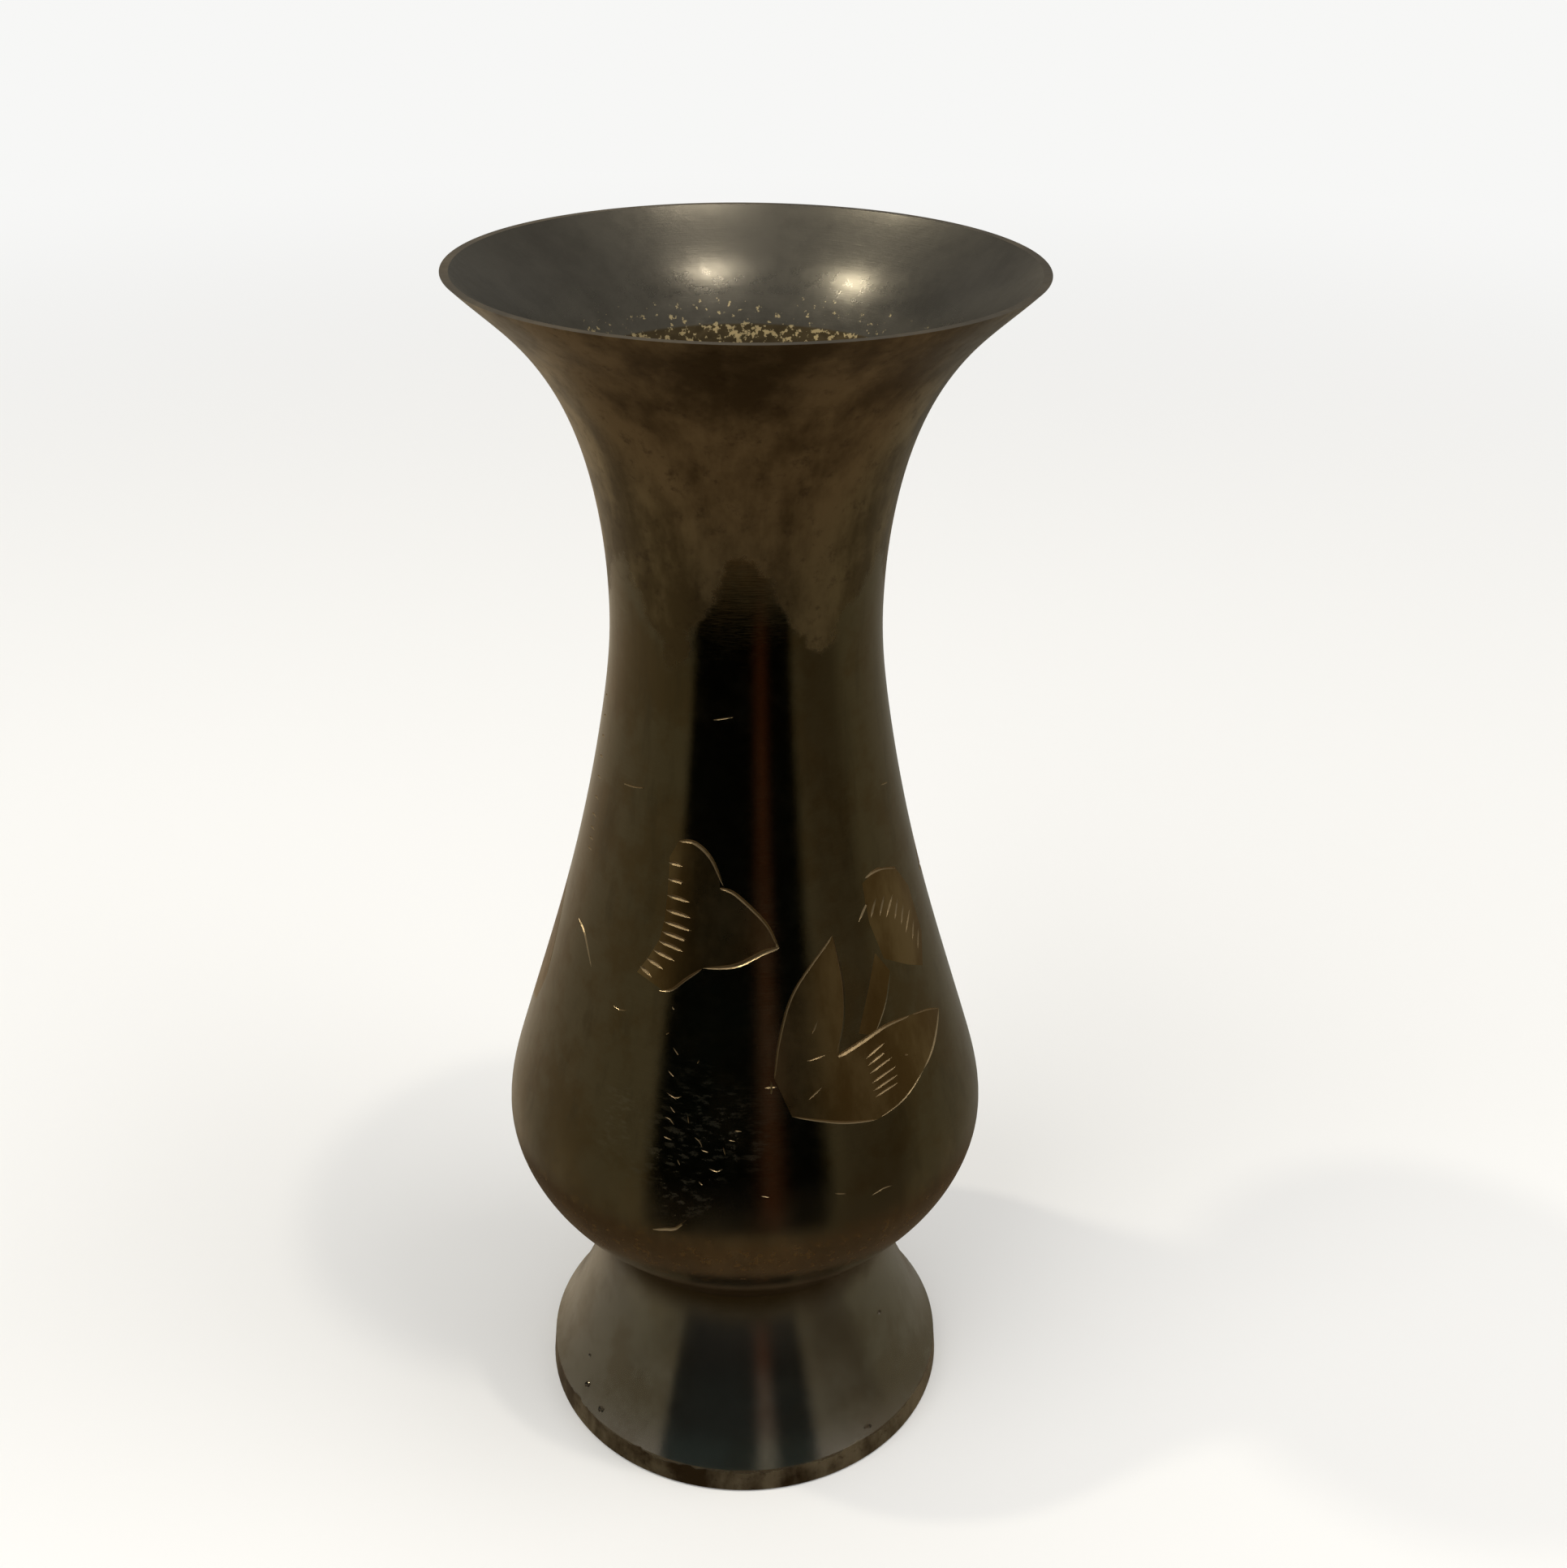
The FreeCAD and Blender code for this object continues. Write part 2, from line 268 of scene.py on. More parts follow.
class Blank:
    """The skin of a turned piece rolled out flat: angle across, distance along the outline up, cuts below
    zero. Runs of the outline are added in order, with the metal always on the left of the way they go."""

    def __init__(self, columns):
        self.angles = np.linspace(-math.pi, math.pi, columns + 1)
        self.outline, self.verts, self.faces, self.normals = [], [], [], []
        self.marks = {"cut": [], "leaf": [], "skin": [], "satin": []}
        self.length = 0.0
        self.row = None

    def add_row(self, station):
        first = len(self.verts)
        self.verts += [(a, station, 0.0) for a in self.angles]
        return first

    def take(self, run, station):
        """Lays the next run of the outline down and returns the stations of its points."""
        place = run[0]
        steps = np.linalg.norm(np.diff(place, axis=0), axis=1)
        stations = station + np.concatenate([[0], np.cumsum(steps)])
        self.outline += [tuple(p) for p in (place if not self.outline else place[1:])]
        return stations

    def add_face(self, face, stations, normal, **marks):
        self.faces.append(face)
        for v in face:
            s = self.verts[v][1]
            out, up = (np.interp(s, stations, normal[:, i]) for i in (0, 1))
            self.normals.append((out, 0, up))
        for name, values in self.marks.items():
            values.append(marks.get(name, 0.0))

    def plain(self, run, spacing, **marks):
        """A run of plain turned surface, in rows about this far apart."""
        stations = self.take(run, self.length)
        if self.row is None:
            self.row = self.add_row(self.length)
        count = max(1, round((stations[-1] - stations[0]) / spacing))
        for s in np.linspace(stations[0], stations[-1], count + 1)[1:]:
            upper = self.add_row(s)
            for c in range(len(self.angles) - 1):
                face = (self.row + c, self.row + c + 1, upper + c + 1, upper + c)
                self.add_face(face, stations, run[1], **marks)
            self.row = upper
        self.length = stations[-1]

    def engraved(self, run, spacing, strokes, leaves, fresh=1.0):
        """A run of turned surface with burin cuts in it, and with leaves whose patina was left on.
        Fresh is how bright the bottoms of the cuts are."""
        reach, clearance, same_level = 2 * mm, 0.25 * spacing, 1e-7
        shallowest, units_per_metre, weld = 0.012 * mm, 1000, 1e-5
        stations = self.take(run, self.length)
        heights, radii = run[0][:, 1], run[0][:, 0]
        wide = radii.mean()

        def flat(points):
            """Degrees round and mm up become metres across the rolled-out skin."""
            points = np.array(points, float)
            station = np.interp(points[:, 1] * mm, heights, stations)
            return np.column_stack([np.radians(points[:, 0]) * wide, station])

        cuts = []
        for path, width in strokes:
            line = flat(path)
            stretch = wide / np.interp(line[:, 1], stations, radii)
            along = np.gradient(line, axis=0)
            along[:, 0] /= stretch
            along /= np.linalg.norm(along, axis=1)[:, None]
            beside = np.column_stack([-along[:, 1] * stretch, along[:, 0]])
            cuts.append((line, np.array(width)[:, None] * mm / 2, beside, stretch))
        points, edges = [], []

        def chain(line, closed=False):
            first = len(points)
            points.extend(map(tuple, line))
            edges.extend((first + i, first + i + 1) for i in range(len(line) - 1))
            if closed:
                edges.append((first + len(line) - 1, first))

        columns = self.angles * wide
        bottom = self.row
        count = max(2, round((stations[-1] - stations[0]) / spacing))
        levels = np.linspace(stations[0], stations[-1], count + 1)
        chain([(x, levels[0]) for x in columns])
        chain([(x, levels[-1]) for x in columns])
        chain([(columns[0], y) for y in levels[1:-1]])
        chain([(columns[-1], y) for y in levels[1:-1]])
        inner = np.array([(x, y) for y in levels[1:-1] for x in columns[1:-1]])
        keep = np.ones(len(inner), bool)
        for line, half, beside, _ in cuts:
            chain(line)
            chain(line[:-1] + (beside * half)[:-1])
            chain(line[:-1] - (beside * half)[:-1])
            low, high = line.min(0) - reach, line.max(0) + reach
            near = np.where(keep & (inner > low).all(1) & (inner < high).all(1))[0]
            for p, w in zip(line, half):
                keep[near[np.linalg.norm(inner[near] - p, axis=1) < w + clearance]] = False
        shapes = [flat(leaf) for leaf in leaves]
        for shape in shapes:
            chain(shape, closed=True)
        points.extend(map(tuple, inner[keep]))
        coordinates, _, triangles, *_ = geometry.delaunay_2d_cdt(
            [Vector(p) * units_per_metre for p in points], edges, [], 0, weld, False
        )
        coordinates = np.array([tuple(c) for c in coordinates]) / units_per_metre

        def depth_at(where):
            """How deep the burin has gone at each point: a vee as deep as it is half wide."""
            depth = np.zeros(len(where))
            for line, half, _, stretch in cuts:
                low, high = line.min(0) - reach / 2, line.max(0) + reach / 2
                near = np.where((where > low).all(1) & (where < high).all(1))[0]
                if not len(near):
                    continue
                scale = np.array([1 / stretch.mean(), 1.0])
                p, a, b = where[near][:, None] * scale, line[:-1][None] * scale, line[1:][None] * scale
                t = np.clip(((p - a) * (b - a)).sum(-1) / ((b - a) ** 2).sum(-1), 0, 1)
                off = np.linalg.norm(p - a - t[..., None] * (b - a), axis=-1)
                local = half[:-1, 0] * (1 - t) + half[1:, 0] * t
                sunk = (local - off).max(1)
                depth[near] = np.maximum(depth[near], sunk)
            return np.where(depth < shallowest, 0, depth)

        depth = depth_at(coordinates)
        middles = np.array([coordinates[list(triangle)].mean(0) for triangle in triangles])
        middle_depth = depth_at(middles)

        self.row = None
        made = {}
        top = self.add_row(levels[-1])

        def vertex(i):
            if i not in made:
                x, y = coordinates[i]
                column = int(round((x / wide + math.pi) / (2 * math.pi) * (len(self.angles) - 1)))
                if abs(y - levels[0]) < same_level:
                    made[i] = bottom + column
                elif abs(y - levels[-1]) < same_level:
                    made[i] = top + column
                else:
                    made[i] = len(self.verts)
                    self.verts.append((x / wide, y, -depth[i]))
            return made[i]

        for triangle, middle, deep in zip(triangles, middles, middle_depth):
            cut = fresh if deep > 0 and depth[list(triangle)].max() > 0 else 0.0
            leaf = 1.0 if any(inside(middle, shape) for shape in shapes) else 0.0
            self.add_face(tuple(vertex(i) for i in triangle), stations, run[1], cut=cut, leaf=leaf)
        self.row = top
        self.length = stations[-1]


def inside(point, shape):
    """Whether a point lies within a closed outline."""
    x, y = point
    if not (shape[:, 0].min() < x < shape[:, 0].max() and shape[:, 1].min() < y < shape[:, 1].max()):
        return False
    a, b = shape, np.roll(shape, -1, axis=0)
    across = (a[:, 1] > y) != (b[:, 1] > y)
    where = a[:, 0] + (y - a[:, 1]) / np.where(across, b[:, 1] - a[:, 1], 1) * (b[:, 0] - a[:, 0])
    return bool((across & (where > x)).sum() % 2)


def lathe_tree():
    """Rolls a flat blank round the axis: each point lands on the outline at its own distance along it."""
    tree = bpy.data.node_groups.new("turn_on_lathe", "GeometryNodeTree")
    tree.interface.new_socket("Geometry", in_out="INPUT", socket_type="NodeSocketGeometry")
    tree.interface.new_socket("Outline", in_out="INPUT", socket_type="NodeSocketObject")
    sizes = {"Depth of Cut": 1.0, "Grit Height": 0.0, "Grit Size": 0.5 * mm, "Weld Distance": 2e-6}
    for name, value in sizes.items():
        socket = tree.interface.new_socket(name, in_out="INPUT", socket_type="NodeSocketFloat")
        socket.default_value = value
    tree.interface.new_socket("Material", in_out="INPUT", socket_type="NodeSocketMaterial")
    tree.interface.new_socket("Geometry", in_out="OUTPUT", socket_type="NodeSocketGeometry")
    n = Nodes(tree)
    given = n.add("NodeGroupInput").outputs
    flat = n.add("ShaderNodeSeparateXYZ", {0: n.add("GeometryNodeInputPosition").outputs[0]}).outputs
    outline = n.add("GeometryNodeObjectInfo", {"Object": given["Outline"]}).outputs["Geometry"]
    found = {"Curves": outline, "Length": flat["Y"]}
    station = n.add("GeometryNodeSampleCurve", found, mode="LENGTH").outputs
    along = n.add("ShaderNodeSeparateXYZ", {0: station["Tangent"]}).outputs
    inwards = n.maths("MULTIPLY", along["X"], -1.0)
    outward = n.add("ShaderNodeCombineXYZ", {"X": along["Z"], "Z": inwards}).outputs[0]
    turn = n.maths("SUBTRACT", flat["X"], math.pi / 2)

    def rolled(vector):
        given_turn = {"Vector": vector, "Angle": turn}
        return n.add("ShaderNodeVectorRotate", given_turn, rotation_type="Z_AXIS").outputs[0]

    skin = n.add("GeometryNodeInputNamedAttribute", {"Name": "skin"}).outputs["Attribute"]
    place = rolled(station["Position"])
    finer = n.maths("DIVIDE", 1.0, given["Grit Size"])
    grit = n.add("ShaderNodeTexNoise", {"Vector": place, "Scale": finer, "Detail": 3.0, "Roughness": 0.6})
    lumps = n.maths("MULTIPLY", n.maths("SUBTRACT", grit.outputs[0], 0.5), given["Grit Height"])
    raised = n.maths("MULTIPLY", lumps, skin)
    pressed = n.maths("MULTIPLY_ADD", flat["Z"], given["Depth of Cut"], raised)
    pushed = {0: rolled(outward), "Scale": pressed}
    shift = n.add("ShaderNodeVectorMath", pushed, operation="SCALE").outputs[0]
    point = n.add("ShaderNodeVectorMath", {0: place, 1: shift}, operation="ADD").outputs[0]
    body = n.add("GeometryNodeSetPosition", {"Geometry": given["Geometry"], "Position": point}).outputs[0]
    welded = {"Geometry": body, "Distance": given["Weld Distance"]}
    body = n.add("GeometryNodeMergeByDistance", welded).outputs[0]
    body = n.add("GeometryNodeSetShadeSmooth", {"Geometry": body}).outputs[0]
    body = n.add("GeometryNodeRealizeInstances", {"Geometry": body}).outputs[0]
    body = n.add("GeometryNodeSetMaterial", {"Geometry": body, "Material": given["Material"]}).outputs[0]
    n.add("NodeGroupOutput", {"Geometry": body})
    return tree


turn_on_lathe = lathe_tree()


def turned(name, blank, material, **settings):
    """Turns a blank into a finished piece, with the normals of the true outline and crisp walls in the
    cuts. Settings are the lathe's own inputs."""
    curve = bpy.data.curves.new(name + "_outline", "CURVE")
    curve.dimensions = "3D"
    spline = curve.splines.new("POLY")
    spline.points.add(len(blank.outline) - 1)
    spline.points.foreach_set("co", [c for r, z in blank.outline for c in (r, 0, z, 1)])
    outline = bpy.data.objects.new(name + "_outline", curve)
    bpy.context.collection.objects.link(outline)

    flat = bpy.data.meshes.new(name + "_blank")
    flat.from_pydata(blank.verts, [], blank.faces)
    corner = flat.attributes.new("turned_normal", "FLOAT_VECTOR", "CORNER")
    corner.data.foreach_set("vector", np.array(blank.normals, np.float32).ravel())
    for mark, values in blank.marks.items():
        if mark == "skin":
            points = np.zeros(len(blank.verts), np.float32)
            for face, value in zip(blank.faces, values):
                points[list(face)] = max(value, 0)
            flat.attributes.new(mark, "FLOAT", "POINT").data.foreach_set("value", points)
        else:
            faces = np.array(values, np.float32)
            flat.attributes.new(mark, "FLOAT", "FACE").data.foreach_set("value", faces)
    holder = bpy.data.objects.new(name + "_blank", flat)
    bpy.context.collection.objects.link(holder)
    modifier = holder.modifiers.new("lathe", "NODES")
    modifier.node_group = turn_on_lathe
    items = turn_on_lathe.interface.items_tree
    given = {item.name: item.identifier for item in items if item.in_out == "INPUT"}
    for key, value in {"Outline": outline, "Material": material, **settings}.items():
        modifier[given[key]] = value
    graph = bpy.context.evaluated_depsgraph_get()
    mesh = bpy.data.meshes.new_from_object(holder.evaluated_get(graph), depsgraph=graph)
    holder.modifiers.remove(modifier)
    bpy.data.objects.remove(holder)
    bpy.data.objects.remove(outline)

    on_axis, least_skin = 1e-6, 0.01
    corners = len(mesh.loops)
    wanted = np.zeros(corners * 3, np.float32)
    mesh.attributes["turned_normal"].data.foreach_get("vector", wanted)
    wanted = wanted.reshape(-1, 3)
    of_corner = np.zeros(corners, np.int32)
    mesh.loops.foreach_get("vertex_index", of_corner)
    places = np.array([tuple(v.co) for v in mesh.vertices])
    angle = np.arctan2(places[:, 1], places[:, 0])[of_corner]
    middles = np.array([tuple(p.center) for p in mesh.polygons])
    sizes = np.array([p.loop_total for p in mesh.polygons])
    face_angle = np.repeat(np.arctan2(middles[:, 1], middles[:, 0]), sizes)
    angle = np.where(np.linalg.norm(places[:, :2], axis=1)[of_corner] < on_axis, face_angle, angle)
    normals = np.column_stack([wanted[:, 0] * np.cos(angle), wanted[:, 0] * np.sin(angle), wanted[:, 2]])
    face_normals = np.array([tuple(p.normal) for p in mesh.polygons])
    cut = np.zeros(len(sizes), np.float32)
    mesh.attributes["cut"].data.foreach_get("value", cut)
    in_cut = np.repeat(cut > 0.5, sizes)
    normals[in_cut] = np.repeat(face_normals, sizes, axis=0)[in_cut]
    skin = np.zeros(len(places), np.float32)
    mesh.attributes["skin"].data.foreach_get("value", skin)
    rough = skin[of_corner] > least_skin
    vertex_normals = np.array([tuple(v.normal) for v in mesh.vertices])
    normals[rough] = vertex_normals[of_corner][rough]
    mesh.normals_split_custom_set(normals.tolist())
    mesh.attributes.remove(mesh.attributes["turned_normal"])
    piece = bpy.data.objects.new(name, mesh)
    bpy.context.collection.objects.link(piece)
    return piece


def bent(points, count):
    """An even path through a few (degrees, height in mm) points, with rounded bends."""
    points = np.array(points, float)
    ends = np.vstack([2 * points[0] - points[1], points, 2 * points[-1] - points[-2]])
    path = []
    spans = len(points) - 1
    for t in np.linspace(0, spans, count):
        i = min(int(t), spans - 1)
        u = t - i
        a, b, c, d = ends[i : i + 4]
        rise = 2 * a - 5 * b + 4 * c - d
        twist = 3 * b - a - 3 * c + d
        path.append(0.5 * (2 * b + (c - a) * u + rise * u**2 + twist * u**3))
    return np.array(path)


def stroke(points, width, ends=(0.0, 0.0)):
    """One push of the burin: it bites in, swells and lifts out. Widths in mm; ends are those at each end."""
    mm_per_degree, facet = 0.42, 0.55
    length = np.linalg.norm(np.diff(np.array(points, float) * (mm_per_degree, 1), axis=0), axis=1).sum()
    path = bent(points, max(5, int(length / facet)))
    t = np.linspace(0, 1, len(path))
    swell = np.sin(math.pi * t**0.8) ** 0.5
    widths = width * np.maximum(swell, 0.04) + ends[0] * (1 - t) ** 4 + ends[1] * t**4
    return path, widths


def hatching(spine, count, lengths, width, tilt):
    """A row of short parallel strokes whose middles follow a spine. Lengths are in degrees, and tilt is how
    many mm each rises from end to end, for the first and the last."""
    strokes = []
    for i, (angle, height) in enumerate(bent(spine, count)):
        reach = np.interp(i / (count - 1), np.linspace(0, 1, len(lengths)), lengths) / 2
        lean = np.interp(i / (count - 1), (0, 1), tilt) / 2
        ends = [(angle - reach, height - lean), (angle, height + 0.1), (angle + reach, height + lean)]
        strokes.append(stroke(ends, width))
    return strokes


def shifted(points, angle, lift, mirror):
    """Points of a motif moved to its own place on the belly, turned about if it faces the other way."""
    return [((-a if mirror else a) + angle, h + lift) for a, h in points]


def big_leaf(angle, lift, mirror=False):
    """A broad leaf: a lobed outline, with a comb of short strokes down its inner side."""
    top = [(-14, 9.6), (-8, 9.7), (-2, 8.2), (2.6, 5.1)]
    shoulder = [(1.4, 4.9), (6, 4.4), (12, 2.6), (17, 0.5), (20, -2)]
    under = [(20.3, -2), (15, -2.5), (7, -3.9), (-3, -4.5)]
    tail = [(-3, -4.5), (-8, -6.1), (-12, -7.6), (-16, -8.1)]
    comb = [(-14.6, 6.8), (-12, 1.2), (-13.6, -2.7), (-21, -6.4)]
    placed = [shifted(p, angle, lift, mirror) for p in (top, shoulder, under, tail, comb)]
    top, shoulder, under, tail, comb = placed
    cuts = [
        stroke(top, 0.50),
        stroke(shoulder, 0.42, ends=(0.1, 0.1)),
        stroke(under, 0.62),
        stroke(tail, 0.34),
    ]
    lean = (0.5, -0.5) if mirror else (-0.1, -0.8)
    cuts += hatching(comb, 10, (5.5, 8.5, 9.5, 8, 4.5), 0.52, lean)
    edge = shifted([(-24, -6.8), (-17.5, -2), (-16.5, 3), (-17, 7.5)], angle, lift, mirror)
    outline = [bent(p, 9)[:-1] for p in (top, shoulder, under, tail)] + [bent(edge, 7)]
    return cuts, np.vstack(outline)


def open_flower(angle, lift, mirror=False):
    """A flower in side view: one petal stands up, one lies over, and the cup closes under them."""
    standing = [(-28, 0), (-26.5, 4), (-23, 8.5), (-17.5, 11.6), (-7.5, 15.2)]
    fold = [(-7.5, 15.2), (-6, 10), (-7, 5.5), (-10.5, 1.5)]
    lying = [(-10, 1.2), (-2.5, 1.9), (6.5, 2.4), (17, 1.7), (25, 0.5), (31.5, -1)]
    tip = [(31.5, -1), (27, -2.8), (22, -4.4), (17, -5.4)]
    cup = [(17, -5.4), (8, -7.0), (-1.5, -7.7), (-10, -6.7), (-16, -5.8), (-24, -4.6)]
    comb = [(1.5, 0.2), (2.5, -1.4), (3, -3.4), (3, -4.9)]
    placed = [shifted(p, angle, lift, mirror) for p in (standing, fold, lying, tip, cup, comb)]
    standing, fold, lying, tip, cup, comb = placed
    veins = [
        [(-19.5, -3.0), (-15.5, -1.8)],
        [(-19, 1.5), (-13.5, 1.8)],
        [(-17, 4.5), (-15, 6.0)],
        [(11, -2.1), (12.5, -2.4)],
    ]
    cuts = [
        stroke(standing, 0.30, ends=(0.0, 0.15)),
        stroke(fold, 0.22),
        stroke(lying[:4], 0.52, ends=(0.3, 0.0)),
        stroke(lying[3:], 0.20),
        stroke(tip, 0.42),
        stroke(cup[:3], 0.22),
        stroke(cup[2:], 0.36),
    ]
    cuts += hatching(comb, 6, (7, 8, 9, 8), 0.34, (-0.8, -0.3) if mirror else (0.8, 0.3))
    cuts += [stroke(shifted(v, angle, lift, mirror), 0.22) for v in veins]
    sides = ((standing, 12), (fold, 9), (lying, 12), (tip, 8))
    outline = [bent(side, count)[:-1] for side, count in sides] + [bent(cup, 14)]
    return cuts, np.vstack(outline)


def curled_leaf(angle, lift, mirror=False):
    """A narrow leaf on a short stem, curled over at the top and feathered with slanting strokes."""
    curl = shifted([(-11.5, 5.2), (-7, 5.4), (-1, 5.0), (7, 3.6)], angle, lift, mirror)
    edge = shifted([(-14, 1.6), (-3, 0.6), (5, -2.2), (10.5, -6.2)], angle, lift, mirror)
    cuts = [stroke(curl, 0.42)]
    for i, (a, h) in enumerate(bent(edge, 9)):
        way = -1 if mirror else 1
        reach = 1.9 if i % 3 else 2.8
        cuts.append(stroke([(a - way * reach, h - 1.0), (a, h + 0.1), (a + way * reach, h + 1.0)], 0.36))
    upper_side = [(-13, 4.8), (-5, 5.6), (5, 4.2), (12, 0.5), (14, -6)]
    under_side = [(9, -9.5), (1, -7.6), (-9, -5.0), (-12.5, 0)]
    shape = upper_side + under_side
    stem = [(-12.2, -3.8), (-7.4, -6.8), (-11.5, -10), (-17.5, -13), (-22.5, -12), (-17, -7.5)]
    stem = shifted(stem, angle, lift, mirror)
    cuts += [stroke([stem[1], stem[2], stem[3]], 0.18)]
    return cuts, np.array(shifted(shape, angle, lift, mirror)), np.array(stem)


def little_star(angle, height):
    """Two crossed ticks of the burin."""
    arms = [[(-1.6, 0), (0, 0.05), (1.6, 0)], [(0, -0.8), (0.1, 0), (0, 0.8)]]
    return [stroke([(angle + a, height + h) for a, h in arm], 0.24) for arm in arms]


strokes, leaves = [], []
spray = [
    big_leaf(-10, 83.0),
    open_flower(35.5, 66.0),
    curled_leaf(55, 81.0),
    big_leaf(104, 82.0, mirror=True),
    open_flower(146, 67.0, mirror=True),
    curled_leaf(-170, 82.0),
    big_leaf(-130, 84.0),
    open_flower(-106, 66.5, mirror=True),
]
for cuts, *patches in spray:
    strokes += cuts
    leaves += patches
star_height = 65.0
for angle in (6.5, 122, -126):
    strokes += little_star(angle, star_height)
loose_cuts = [
    ([(-65, 77.6), (-60, 77.0), (-56, 75.6), (-52, 73.8)], 0.34),
    ([(-52, 96.6), (-46, 96.9), (-40, 97.4)], 0.18),
    ([(60, 95.4), (66, 94.9)], 0.18),
    ([(-13, 107.0), (-5, 107.5)], 0.16),
]
strokes += [stroke(points, width) for points, width in loose_cuts]
# Scratches low on the front where the vase has been knocked, one deeper nick under them, and a row of ticks.
scratch_length, scratch_width = 0.65, 0.14
for points in (
    [(-21.5, 73.6), (-20.5, 73.1)],
    [(-22.5, 70.1), (-21.2, 70.5)],
    [(-20.4, 69.1), (-18.6, 68.3), (-17.8, 67.9)],
    [(-13, 67.4), (-12.2, 68.0)],
    [(-21, 66.2), (-18.5, 65.4)],
    [(-21.5, 63.6), (-18, 63.0), (-15.2, 63.5)],
    [(-19.5, 62.2), (-17.4, 61.2)],
    [(-21, 60.8), (-18.8, 60.6), (-17, 59.7)],
    [(-14.5, 61.5), (-13.9, 60.2)],
    [(-20.5, 58.4), (-17.5, 58.1)],
    [(-13, 59.2), (-11, 58.6), (-9.8, 57.5)],
    [(-11, 57.6), (-8.2, 57.3)],
    [(-5.5, 58.4), (-4.6, 56.9)],
    [(-9.5, 55.5), (-6.5, 55.1), (-4.5, 55.6)],
    [(-3, 60.1), (-0.5, 60.0)],
    [(-4.5, 59.0), (-2.0, 58.8)],
    [(-16.4, 56.2), (-15.2, 55.2)],
    [(-11, 53.9), (-9.6, 53.3)],
    [(-42, 71.2), (-38, 71.0), (-34, 71.5)],
    [(20, 51.4), (24, 50.8)],
    [(28, 49.4), (33, 49.9), (37, 49.6)],
    [(3, 52.4), (6, 52.1)],
):
    middle = np.mean(points, axis=0)
    shorter = [tuple(middle + (np.array(p) - middle) * scratch_length) for p in points]
    strokes.append(stroke(shorter, scratch_width))
strokes.append(stroke([(-21, 46.5), (-18, 47.0), (-15.5, 47.4), (-13, 48.9)], 0.42))
strokes += hatching([(-78, 104), (-73, 97), (-70, 90), (-68, 86)], 10, (4, 5, 4), 0.24, (0.3, 0.2))

lip = (lip_radius, vase_height)
neck = (neck_radius, neck_height)
belly = (belly_radius, belly_height)
throat = (neck_radius - neck_wall, neck_height)
inner_lip = (lip_radius - lip_thickness, vase_height)
skirt_radius = belly_radius - lap_skirt
ledge = (belly_radius - belly_wall, belly_height + lap_length)
ledge_edge = (skirt_radius, ledge[1])

outside_low = smooth_run(
    [
        belly,
        part_way(belly, neck, 0.133, 0.119),
        part_way(belly, neck, 0.489, 0.601),
        part_way(belly, neck, 0.801, 0.909),
        neck,
    ],
    UP,
    UP,
)
outside_high = smooth_run(
    [
        neck,
        part_way(neck, lip, 0.36, 0.075),
        part_way(neck, lip, 0.68, 0.328),
        part_way(neck, lip, 0.84, 0.600),
        lip,
    ],
    UP,
    slope(45),
)
inside_high = smooth_run(
    [
        inner_lip,
        part_way(inner_lip, throat, 0.16, 0.42),
        part_way(inner_lip, throat, 0.36, 0.71),
        part_way(inner_lip, throat, 0.64, 0.92),
        throat,
    ],
    (-slope(45)[0], -slope(45)[1]),
    DOWN,
)
inside_low = smooth_run(
    [
        throat,
        part_way(throat, ledge, 0.25, 0.12),
        part_way(throat, ledge, 0.60, 0.47),
        part_way(throat, ledge, 0.84, 0.79),
        ledge,
    ],
    DOWN,
    DOWN,
)


def split(run, height):
    """Parts a run in two at a height."""
    place, normal = run
    i = int(np.argmin(abs(place[:, 1] - height)))
    return (place[: i + 1], normal[: i + 1]), (place[i:], normal[i:])


belt_bottom, belt_top = 46.2 * mm, 110 * mm
turned_down_to, flecked_down_to, rough_down_to = 143 * mm, 140.5 * mm, 96 * mm
plain_foot_of_belly, rest_of_belly = split(outside_low, belt_bottom)
engraved_belt, plain_neck = split(rest_of_belly, belt_top)
turned_mouth, rest_of_mouth = split(inside_high, turned_down_to)
flecked_edge, rough_throat = split(rest_of_mouth, flecked_down_to)
rough_neck, cavity_wall = split(inside_low, rough_down_to)

columns_round = 256
upper = Blank(columns_round)
upper.plain(plain_foot_of_belly, 1.0 * mm)
upper.engraved(engraved_belt, 1.1 * mm, strokes, leaves)
upper.plain(plain_neck, 1.2 * mm)
upper.plain(outside_high, 1.1 * mm)
upper.plain(straight_run(lip, inner_lip), 0.5 * mm, satin=0.6)
upper.plain(turned_mouth, 0.9 * mm, satin=1.0)
upper.plain(flecked_edge, 0.6 * mm, satin=1.0, skin=0.3)
upper.plain(rough_throat, 0.42 * mm, skin=1.0)
upper.plain(rough_neck, 0.6 * mm, skin=1.0)
upper.plain(cavity_wall, 1.2 * mm, skin=1.0)
skirt_inside = (skirt_radius, belly_height + lap_chamfer)
skirt_tip = (skirt_radius + lap_chamfer, belly_height)
lap = [ledge, ledge_edge, skirt_inside, skirt_tip, belly]
for start, end in zip(lap, lap[1:]):
    upper.plain(straight_run(start, end), 2.0 * mm)


